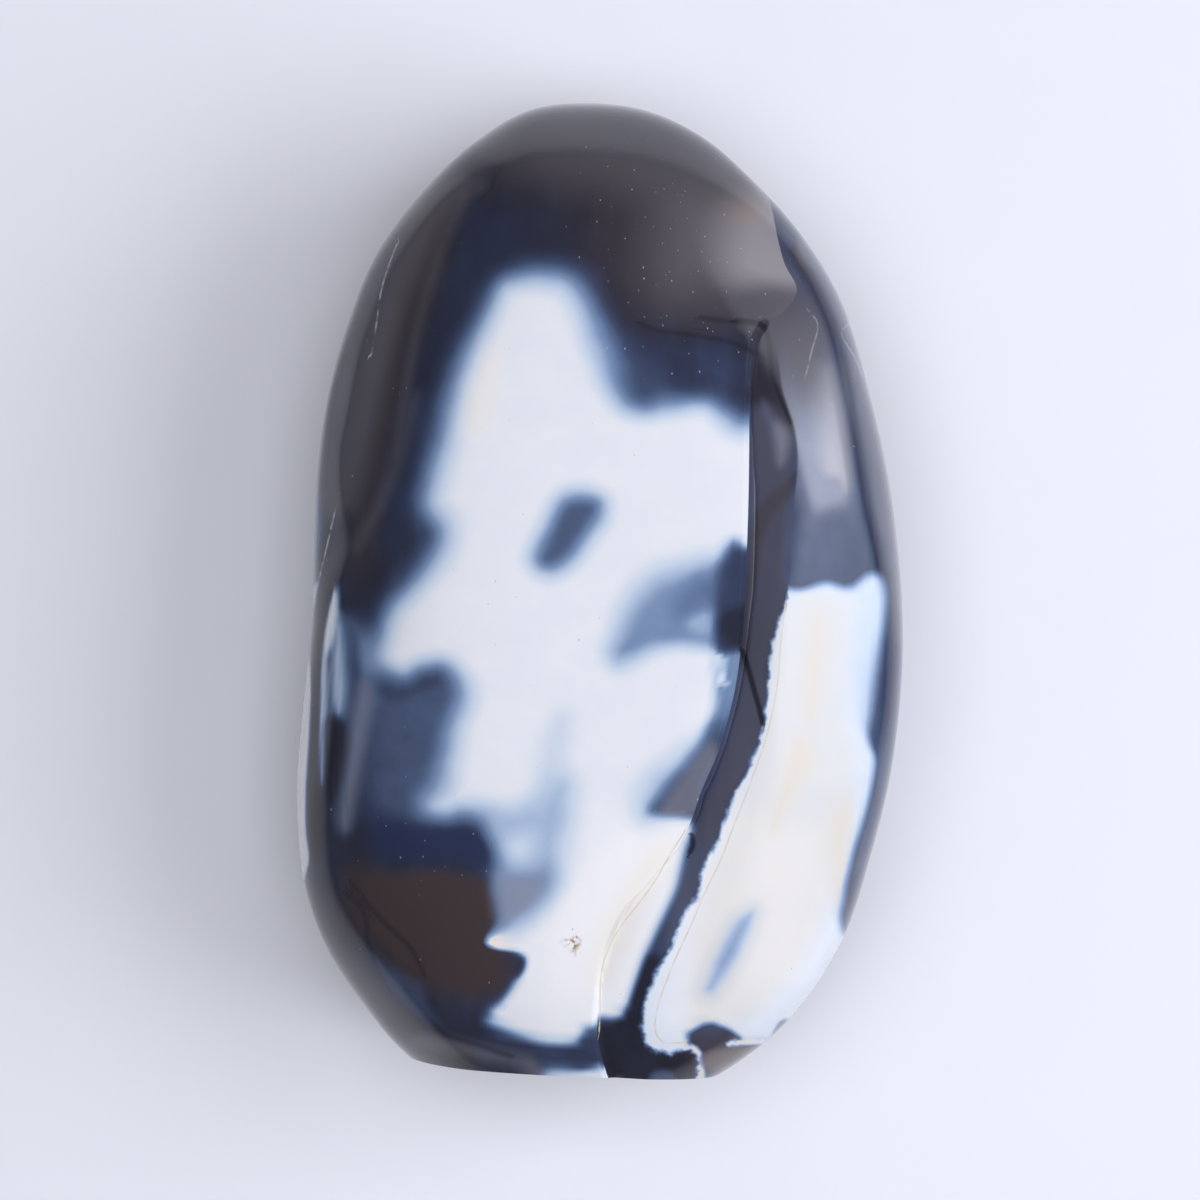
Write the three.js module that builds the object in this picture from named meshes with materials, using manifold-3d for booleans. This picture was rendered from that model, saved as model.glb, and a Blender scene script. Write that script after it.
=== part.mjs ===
// A polished agate freeform, lying on its back: one solid stone with a domed front, a ledge and a groove
// that part its main lobe from a lower lobe on the right, ground facets along its flanks, and two flat
// cuts, the base that it can be stood on and the back that it lies on.
// Millimetres. +Z is up, +Y runs to the rounded top, and the origin is on the table under the middle.
import * as THREE from "three";
import { mergeVertices } from "three/addons/utils/BufferGeometryUtils.js";
import Module from "manifold-3d";

// Driving dimensions
const FRONT_RISE = 22.5; // of the rounded front above the rim, before its faces are ground
const RIM_HEIGHT = 20; // of the widest outline, above the table
const BACK_GROUND_OFF = 1.4; // ground from the rounded back, so that the stone lies flat
const BACK_RISE = RIM_HEIGHT + BACK_GROUND_OFF;
const FULLNESS = 2.8; // of the domes: 2 is an ellipse, and more is squarer
const EYE_HEIGHT = 480; // above the rim, of the eye from which the relief on the front is laid out

// The widest outline before the base is cut, anticlockwise from the rightmost point.
const OUTLINE = [
  [36.2, -4],
  [35, 10],
  [31.8, 25.1],
  [28.2, 35.9],
  [23.6, 43.1],
  [16.9, 50.3],
  [12.7, 54.1],
  [5.6, 58],
  [-1.5, 59],
  [-8.4, 58],
  [-14.4, 54],
  [-21.8, 46.8],
  [-26.9, 39.6],
  [-29.9, 32.2],
  [-32.7, 21.7],
  [-34, 8],
  [-34.5, -6],
  [-35.5, -15],
  [-36.1, -25.8],
  [-35, -35.9],
  [-32.3, -43.2],
  [-28, -50],
  [-24.9, -54],
  [-20.5, -57.6],
  [-12, -60.8],
  [0, -62],
  [8, -60.6],
  [13.3, -58.3],
  [17, -56],
  [20, -53.7],
  [23.9, -49.7],
  [28.4, -42.9],
  [32.2, -32.2],
  [34.9, -21],
];

// The base cut: a plane through this point, turned this far about Z from facing -Y.
const BASE_POINT = [-3.5, -56.8];
const BASE_TURN = -2.8; // degrees

// Facets ground on the front and flanks: the plan point of each, the way it faces in plan, its lean from
// facing straight up (degrees), what is ground off the dome there, and how softly its edge is rounded (mm).
const FACETS = [
  { at: [-1, -8], facing: 100, lean: 2, ground: 0.8, soft: 5 }, // broad front face
  { at: [-25.5, 24], facing: 160, lean: 36, ground: 1, soft: 2.5 }, // upper left shoulder
  { at: [-30.6, 20], facing: 167, lean: 60, ground: 0.7, soft: 0.3 }, // its outer edge
  { at: [-34.4, -13], facing: 176, lean: 75, ground: 0.5, soft: 0.6 }, // left flank
  { at: [-29, -46.8], facing: 222, lean: 62, ground: 0.6, soft: 0.8 }, // lower left bevel
  { at: [3, 51.4], facing: 88, lean: 50, ground: 0.7, soft: 7 }, // top end
];

// Facets of the right flank. Those above the crease that crosses it run into each other, as do those below.
const FLANKS = [
  [
    { at: [20.6, 41.2], facing: 44, lean: 32, ground: -0.1 },
    { at: [27, 30], facing: 31, lean: 31, ground: -0.1 },
    { at: [29.4, 17], facing: 15, lean: 30, ground: -0.1 },
  ],
  [
    { at: [31.2, 6], facing: -4, lean: 31, ground: 0.2 },
    { at: [32.6, -15], facing: -8, lean: 32, ground: 0 },
    { at: [28.6, -34], facing: -26, lean: 33, ground: 0 },
  ],
];
const FLANK_BLEND = 1.5; // between facets that run into each other
const FLANK_CREASE = 0.3; // where the upper ones meet the lower ones
const FLANK_EDGE = 0.6; // where they meet the dome

// The ledge: the main lobe ends along this edge, and the stone to the right of it lies lower.
const LEDGE = {
  path: [
    [19.6, 32.5],
    [17.9, 25],
    [17.9, 10],
    [17.8, -8],
    [16.3, -18],
    [10.9, -28.7],
    [3.1, -37.7],
    [0.2, -46],
    [-0.2, -54],
    [1.6, -60],
  ],
  drop: 1.9,
  wall: 1, // across the wall, in plan
  start: 0.1, // share of the path over which it grows to its full drop
  fade: 0.45, // share of the drop that is gone at its lower end
};

// The ridge of the lower lobe, up to which the groove rises from the foot of the ledge.
const RIDGE = [
  [19.4, 33],
  [21.2, 29],
  [22, 24],
  [23.4, 19],
  [23.7, 15],
  [23, 9],
  [22.5, 0],
  [20.8, -8],
  [19.9, -15],
  [17.8, -21.5],
  [14.8, -27.5],
  [11.8, -34],
  [8.2, -40.5],
  [5.8, -48],
  [5.4, -53],
  [6, -60],
];

// A shallow valley across the upper front, and two along the upper left shoulder.
const VALLEYS = [
  { path: [[2, 33.6], [6, 31.6], [12, 30.6], [18, 28.8]], depth: 0.22, halfWidth: 1.2 },
  { path: [[-13, 52], [-18, 43], [-24, 30], [-29, 14], [-32.5, 0]], depth: 0.6, halfWidth: 2.4 },
  { path: [[-15, 40], [-21, 27], [-26, 12], [-30, -4]], depth: 0.45, halfWidth: 2 },
];
const VALLEY_EASE = 0.1; // share of a valley's path over which each end of it eases in
const RELIEF_FADE = [0.1, 0.5]; // shares of the front's rise between which the relief dies out to the rim

// Mesh fineness: cells across the width, the length and the thickness
const CELLS = [34, 46, 11];
const LEDGE_COLUMN = 17; // the column of the front's cells that is laid along the wall of the ledge
const BORDER = 0.25; // share of the front's half length over which its columns come back to even at each end
const HALF_SIZE = new THREE.Vector3(36.4, 58.6, BACK_RISE);
const SOLVE_RANGE = [0.4, 1.8]; // shares of the half size between which the surface is looked for
const SOLVE_STEPS = 40;
const PATH_STEPS = 48;
const WELD = 1e-4;
const CUTTER_SIZE = 200;

const CENTRE = new THREE.Vector3(0, 0, RIM_HEIGHT);
const { clamp, degToRad, mapLinear, smoothstep } = THREE.MathUtils;

// The outline as angle and radius about the middle, in order of angle.
const spokes = OUTLINE.map(([x, y]) => ({ angle: Math.atan2(y, x), radius: Math.hypot(x, y) })).sort(
  (a, b) => a.angle - b.angle,
);

// A spoke by its number, counted on past a full turn either way.
function spoke(i) {
  const turns = Math.floor(i / spokes.length);
  const { angle, radius } = spokes[i - turns * spokes.length];
  return { angle: angle + 2 * Math.PI * turns, radius };
}

// The outline's radius at an angle, on a smooth curve through the spokes.
function outlineRadius(angle) {
  let i = spokes.findIndex((s) => s.angle > angle);
  i = (i < 0 ? spokes.length : i) - 1;
  const [before, start, end, after] = [i - 1, i, i + 1, i + 2].map(spoke);
  const span = end.angle - start.angle;
  const t = (angle - start.angle) / span;
  const startSlope = ((end.radius - before.radius) / (end.angle - before.angle)) * span;
  const endSlope = ((after.radius - start.radius) / (after.angle - start.angle)) * span;
  return (
    start.radius * (1 + 2 * t) * (1 - t) ** 2 +
    startSlope * t * (1 - t) ** 2 +
    end.radius * t * t * (3 - 2 * t) +
    endSlope * t * t * (t - 1)
  );
}

// A smooth path on the plan as short straight steps.
function stepsAlong(points) {
  const curve = new THREE.SplineCurve(points.map(([x, y]) => new THREE.Vector2(x, y)));
  return curve.getSpacedPoints(PATH_STEPS);
}

// How far a plan point is from a path, positive on the left hand of its run, and the place along it, 0 to 1.
function fromPath(steps, x, y) {
  let nearest = { distance: Infinity, along: 0 };
  for (let i = 0; i + 1 < steps.length; i++) {
    const dx = steps[i + 1].x - steps[i].x;
    const dy = steps[i + 1].y - steps[i].y;
    const raw = ((x - steps[i].x) * dx + (y - steps[i].y) * dy) / (dx * dx + dy * dy);
    const part = clamp(raw, 0, 1);
    const offX = x - steps[i].x - part * dx;
    const offY = y - steps[i].y - part * dy;
    const gap = Math.hypot(offX, offY);
    if (gap < Math.abs(nearest.distance)) {
      const side = dy * offX - dx * offY < 0 ? 1 : -1;
      nearest = { distance: gap * side, along: (i + part) / (steps.length - 1) };
    }
  }
  return nearest;
}

const ledgeSteps = stepsAlong(LEDGE.path);
const ridgeSteps = stepsAlong(RIDGE);
const valleySteps = VALLEYS.map((valley) => stepsAlong(valley.path));

// How deep the groove between the ledge and the ridge goes below the smooth dome at a plan point.
function grooveDepth(x, y) {
  const ledge = fromPath(ledgeSteps, x, y);
  const toRidge = -fromPath(ridgeSteps, x, y).distance;
  const across = Math.max(0, ledge.distance) + Math.abs(toRidge);
  const share = Math.max(0, toRidge) / Math.max(across, LEDGE.wall);
  const lowered = clamp(0.5 + ledge.distance / LEDGE.wall, 0, 1);
  const grown = smoothstep(ledge.along, 0, LEDGE.start) * (1 - LEDGE.fade * ledge.along);
  return LEDGE.drop * share * lowered * grown;
}

// How deep a valley is at a plan point: deepest along its path, and none at its ends.
function valleyDepth({ depth, halfWidth }, steps, x, y) {
  const { distance, along } = fromPath(steps, x, y);
  const ends = smoothstep(along, 0, VALLEY_EASE) * smoothstep(1 - along, 0, VALLEY_EASE);
  return depth * Math.exp(-((distance / halfWidth) ** 2)) * ends;
}

// How deep the front's relief goes below the smooth dome at a plan point.
function reliefDepth(x, y) {
  const valleys = VALLEYS.map((valley, i) => valleyDepth(valley, valleySteps[i], x, y));
  return valleys.reduce((sum, depth) => sum + depth, grooveDepth(x, y));
}

// The larger of two levels, with the corner between them rounded.
function smoothMax(a, b, soft) {
  const near = Math.max(0, 1 - Math.abs(a - b) / soft);
  return Math.max(a, b) + (soft * near * near) / 4;
}

// How far out a place lies, from 0 at the middle to 1 at the widest outline.
const spreadAt = (x, y) => Math.hypot(x, y) / outlineRadius(Math.atan2(y, x));

// A facet with its normal and its distance from the origin along it.
function withPlane(facet) {
  const [x, y] = facet.at;
  const height = RIM_HEIGHT + FRONT_RISE * (1 - spreadAt(x, y) ** FULLNESS) ** (1 / FULLNESS);
  const turn = degToRad(facet.facing);
  const sideways = Math.sin(degToRad(facet.lean));
  const upward = Math.cos(degToRad(facet.lean));
  const normal = new THREE.Vector3(sideways * Math.cos(turn), sideways * Math.sin(turn), upward);
  return { ...facet, normal, offset: normal.dot(new THREE.Vector3(x, y, height)) - facet.ground };
}

const frontFacets = FACETS.map(withPlane);
const flankFacets = FLANKS.map((facets) => facets.map(withPlane));

// How far a point is outside a facet.
const beyond = (point, { normal, offset }) => normal.dot(point) - offset;

// How far a point is outside the facets of the right flank.
function beyondFlank(point) {
  const blend = (a, b) => smoothMax(a, b, FLANK_BLEND);
  const outermost = (facets) => facets.map((facet) => beyond(point, facet)).reduce(blend);
  const [upper, lower] = flankFacets.map(outermost);
  return smoothMax(upper, lower, FLANK_CREASE);
}

// A point of the front in plan, as the eye sees it against the rim.
function seenPlan(point) {
  const nearer = EYE_HEIGHT / (EYE_HEIGHT - (point.z - RIM_HEIGHT));
  return [point.x * nearer, point.y * nearer];
}

// About how far a point is outside the stone; negative inside it.
function outside(point) {
  const q = point.clone().sub(CENTRE);
  const rise = q.z / (q.z > 0 ? FRONT_RISE : BACK_RISE);
  const gauge = (spreadAt(q.x, q.y) ** FULLNESS + Math.abs(rise) ** FULLNESS) ** (1 / FULLNESS);
  let level = q.length() * (1 - 1 / gauge);
  for (const facet of frontFacets) level = smoothMax(level, beyond(point, facet), facet.soft);
  level = smoothMax(level, beyondFlank(point), FLANK_EDGE);
  if (rise > 0) level += reliefDepth(...seenPlan(point)) * smoothstep(rise, ...RELIEF_FADE);
  return level;
}

// Where the ray from the middle of the stone through a direction leaves it.
function surfacePoint(direction) {
  let [inner, outer] = SOLVE_RANGE;
  const point = new THREE.Vector3();
  for (let i = 0; i < SOLVE_STEPS; i++) {
    const middle = (inner + outer) / 2;
    point.copy(direction).multiplyScalar(middle).add(CENTRE);
    if (outside(point) > 0) outer = middle;
    else inner = middle;
  }
  return point;
}

// The surface at a place on a box of half size 1, which is swelled to an even ball and then stretched.
function stonePoint(x, y, z) {
  const even = [x, y, z].map((t) => Math.tan((t * Math.PI) / 4));
  return surfacePoint(new THREE.Vector3(...even).normalize().multiply(HALF_SIZE));
}

// Where the ledge crosses a row of the box's front.
function ledgeCrossing(y) {
  let [left, right] = [-1, 1];
  for (let i = 0; i < SOLVE_STEPS; i++) {
    const middle = (left + right) / 2;
    if (fromPath(ledgeSteps, ...seenPlan(stonePoint(middle, y, 1))).distance < 0) left = middle;
    else right = middle;
  }
  return left;
}

// Shifts the columns of a row of the box's front so that one column is the wall of the ledge.
function ledgeShift(y) {
  const lip = -1 + (2 * LEDGE_COLUMN) / CELLS[0];
  const foot = lip + 2 / CELLS[0];
  const even = (lip + foot) / 2;
  const halfWall = LEDGE.wall / 2 / HALF_SIZE.x;
  const ease = smoothstep(1 - Math.abs(y), 0, BORDER);
  const crossing = even + (ledgeCrossing(y) - even) * ease;
  const halfColumn = (foot - lip) / 2 + (halfWall - (foot - lip) / 2) * ease;
  return (x) =>
    x < even
      ? mapLinear(x, -1, lip, -1, crossing - halfColumn)
      : mapLinear(x, foot, 1, crossing + halfColumn, 1);
}

// A box of cells drawn onto the surface of the stone.
function roughStone() {
  const geometry = new THREE.BoxGeometry(2, 2, 2, ...CELLS);
  const position = geometry.getAttribute("position");
  const place = new THREE.Vector3();
  const shifts = new Map();
  for (let i = 0; i < position.count; i++) {
    place.fromBufferAttribute(position, i);
    if (place.z === 1) {
      if (!shifts.has(place.y)) shifts.set(place.y, ledgeShift(place.y));
      place.x = shifts.get(place.y)(place.x);
    }
    position.setXYZ(i, ...stonePoint(...place));
  }
  return geometry;
}

const wasm = await Module();
wasm.setup();

function solidOf(geometry) {
  geometry.deleteAttribute("normal");
  geometry.deleteAttribute("uv");
  const merged = mergeVertices(geometry, WELD);
  const vertProperties = new Float32Array(merged.getAttribute("position").array);
  const triVerts = new Uint32Array(merged.index.array);
  return new wasm.Manifold(new wasm.Mesh({ numProp: 3, vertProperties, triVerts }));
}

// A block whose top face is the cutting plane: it takes off all that is behind that plane.
function cutterBelow(point, quaternion) {
  const block = new THREE.BoxGeometry(CUTTER_SIZE, CUTTER_SIZE, CUTTER_SIZE);
  block.translate(0, 0, -CUTTER_SIZE / 2);
  block.applyQuaternion(quaternion);
  block.translate(point.x, point.y, point.z);
  return solidOf(block);
}

function baseCutter() {
  const upright = new THREE.Quaternion().setFromAxisAngle(new THREE.Vector3(1, 0, 0), -Math.PI / 2);
  const turned = new THREE.Quaternion().setFromAxisAngle(new THREE.Vector3(0, 0, 1), degToRad(BASE_TURN));
  return cutterBelow(new THREE.Vector3(...BASE_POINT, RIM_HEIGHT), turned.multiply(upright));
}

const backCutter = () => cutterBelow(new THREE.Vector3(), new THREE.Quaternion());

function geometryOf(solid) {
  const { vertProperties, triVerts } = solid.getMesh();
  const geometry = new THREE.BufferGeometry();
  geometry.setAttribute("position", new THREE.BufferAttribute(vertProperties, 3));
  geometry.setIndex(new THREE.BufferAttribute(triVerts, 1));
  geometry.computeVertexNormals();
  return geometry;
}

const stone = solidOf(roughStone()).subtract(baseCutter()).subtract(backCutter());
const polishedAgate = new THREE.MeshStandardMaterial({ color: 0x5a5c66, roughness: 0.08, metalness: 0 });
const agate = new THREE.Mesh(geometryOf(stone), polishedAgate);
agate.name = "agate";

const freeform = new THREE.Group();
freeform.add(agate);
export default freeform;
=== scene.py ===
"""A polished agate freeform, lying on its back on a pale floor and seen from straight above.

The stone's form stays close to the solid model's surface, on a finer mesh. Its white, blue, brown and black
markings are laid out on the plan by outlines and paths, kept on the mesh as attributes and coloured by
one node material. Some of the marks are painted highlights, reflections and shade rather than the stone's
colour, and the floor's colour is painted darker away from the stone. Plan places of the markings are in
pixels of the 1200 x 1200 photograph.
"""
import functools
import math

import bmesh
import bpy
import numpy as np
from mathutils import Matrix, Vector


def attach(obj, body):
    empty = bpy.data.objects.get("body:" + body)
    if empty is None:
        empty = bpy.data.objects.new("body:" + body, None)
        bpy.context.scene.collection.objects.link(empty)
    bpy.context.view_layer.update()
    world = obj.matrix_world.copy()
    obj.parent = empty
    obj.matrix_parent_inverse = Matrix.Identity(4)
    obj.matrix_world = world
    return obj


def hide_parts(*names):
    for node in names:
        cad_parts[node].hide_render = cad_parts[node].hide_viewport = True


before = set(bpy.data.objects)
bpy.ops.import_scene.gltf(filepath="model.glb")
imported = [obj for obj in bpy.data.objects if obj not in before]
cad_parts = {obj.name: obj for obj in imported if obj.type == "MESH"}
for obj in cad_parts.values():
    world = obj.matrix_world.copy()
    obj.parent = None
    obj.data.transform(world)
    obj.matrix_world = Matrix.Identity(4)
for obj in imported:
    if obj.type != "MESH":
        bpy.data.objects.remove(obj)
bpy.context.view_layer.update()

# Units and the photograph's layout
MM = 0.001
MM_PER_PIXEL = 0.12
MIDDLE_PIXEL = np.array([599.5, 590.5])  # the middle of the stone
IMAGE_PIXELS = 1200

# The stone's form in mm, close to the solid model's
FRONT_RISE = 22.5
RIM_HEIGHT = 20.0
BACK_RISE = 21.4
FULLNESS = 2.8  # of the dome's section: 2 is an ellipse, more is squarer
EYE_HEIGHT = 480.0  # of the camera above the rim
HALF_SIZE = np.array([36.4, 58.6, BACK_RISE])  # roughly, as a start for the mesh
OUTLINE = [
    (36.2, -4), (35, 10), (31.8, 25.1), (28.2, 35.9), (23.6, 43.1), (16.9, 50.3), (12.7, 54.1), (5.6, 58),
    (-1.5, 59), (-8.4, 58), (-14.4, 54), (-21.8, 46.8), (-26.9, 39.6), (-29.9, 32.2), (-32.7, 21.7),
    (-34, 8), (-34.5, -6), (-35.5, -15), (-36.1, -25.8), (-35, -35.9), (-32.3, -43.2), (-28, -50),
    (-24.9, -54), (-20.5, -57.6), (-12, -60.8), (0, -62), (8, -60.6), (13.3, -58.3), (17, -56),
    (20, -53.7), (23.9, -49.7), (28.4, -42.9), (32.2, -32.2), (34.9, -21),
]
BASE_POINT = (-3.5, -56.8)  # of the cut base, in plan
BASE_TURN = -2.8  # degrees

# Ground facets: plan point, way it faces and lean (degrees), what is ground off, softness of its edge
FACETS = [
    {"at": (-1, -8), "facing": 100, "lean": 2, "ground": 0.8, "soft": 5},
    {"at": (-25.5, 24), "facing": 160, "lean": 36, "ground": 1, "soft": 2.5},
    {"at": (-30.6, 20), "facing": 167, "lean": 60, "ground": 0.4, "soft": 0.3},
    {"at": (-33.8, -13), "facing": 176, "lean": 63, "ground": 0, "soft": 0.3},
    {"at": (-29, -46.8), "facing": 222, "lean": 62, "ground": 0.4, "soft": 2.6},
    {"at": (3, 51.4), "facing": 88, "lean": 50, "ground": 0.7, "soft": 7},
]
# Facets of the right flank, above and below the crease that crosses it, run into each other
FLANKS = [
    [
        {"at": (20.6, 41.2), "facing": 44, "lean": 32, "ground": -0.1},
        {"at": (27, 30), "facing": 31, "lean": 31, "ground": -0.1},
        {"at": (29.4, 17), "facing": 15, "lean": 30, "ground": -0.1},
    ],
    [
        {"at": (31.2, 6), "facing": -4, "lean": 31, "ground": 0.2},
        {"at": (32.6, -15), "facing": -8, "lean": 32, "ground": 0},
        {"at": (28.6, -34), "facing": -26, "lean": 33, "ground": 0},
    ],
]
FLANK_BLEND = 1.5  # softness between facets of one row
FLANK_CREASE = 0.3  # softness between the two rows
FLANK_EDGE = 0.6  # softness of their edge on the dome

# Relief of the front: the ledge, the ridge beyond its groove, and shallow valleys
LEDGE_PATH = [
    (19.6, 32.5), (17.9, 25), (17.9, 10), (17.5, -1), (16.9, -7), (15.9, -13), (14.2, -19), (12.2, -24),
    (10.4, -28.7), (3.1, -37.7), (0.2, -46), (-0.2, -54), (1.6, -60),
]
LEDGE_DROP = 1.9
LEDGE_WALL = 0.5  # across, in plan
LEDGE_START = 0.19  # share of its run, over which it comes in
LEDGE_FADE = 0.45  # share of its drop that is lost by its end
RIDGE_PATH = [
    (19.4, 33), (21.2, 29), (22, 24), (23.4, 19), (23.7, 15), (23, 9), (22.5, 0), (20.8, -8), (19.9, -15),
    (17.8, -21.5), (14.8, -27.5), (11.8, -34), (8.2, -40.5), (5.8, -48), (5.4, -53), (6, -60),
]
VALLEYS = [
    {"path": [(2, 33.6), (6, 31.6), (12, 30.6), (18, 28.8)], "depth": 0.22, "half_width": 1.2},
    {"path": [(-13, 52), (-18, 43), (-24, 30), (-29, 14), (-32.5, 0)], "depth": 0.6, "half_width": 2.4},
    {"path": [(-15, 40), (-21, 27), (-26, 12), (-30, -4)], "depth": 0.45, "half_width": 2},
]
VALLEY_EASE = 0.1  # share of a valley's run, over which each end fades
RELIEF_FADE = (0.1, 0.5)  # of the front's rise, over which the relief comes in from the rim

# Mesh fineness
CELLS = (132, 200, 52)  # across the width, the length and the thickness
SOLVE_STEPS = 26  # halvings of the range
SOLVE_RANGE = (0.4, 1.8)  # of each ray, between which it leaves the stone
RELIEF_ROUNDS = 3
BORDER_ROWS = 14  # over which the columns of cells come back to even at the ends of the front
SHARP_DROP = 0.2  # mm of relief, beyond which the ledge has sharp edges
FLAT_RINGS = 10  # of cells in the base and in the back
STEPS_PER_SPAN = 6  # of a curve
OUTLINE_STEPS = 1440
CUT_TOLERANCE = 1e-7  # metres

# Marks: a name, the level inside, the softness of the edge (half its width) and the outline, in pixels.
# Where a point has a third number, that is the softness there.
# Levels of whiteness: 1 is white, 0 mid blue, -1 charcoal and -1.5 black.
STONE_LEVEL = -1.0
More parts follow.
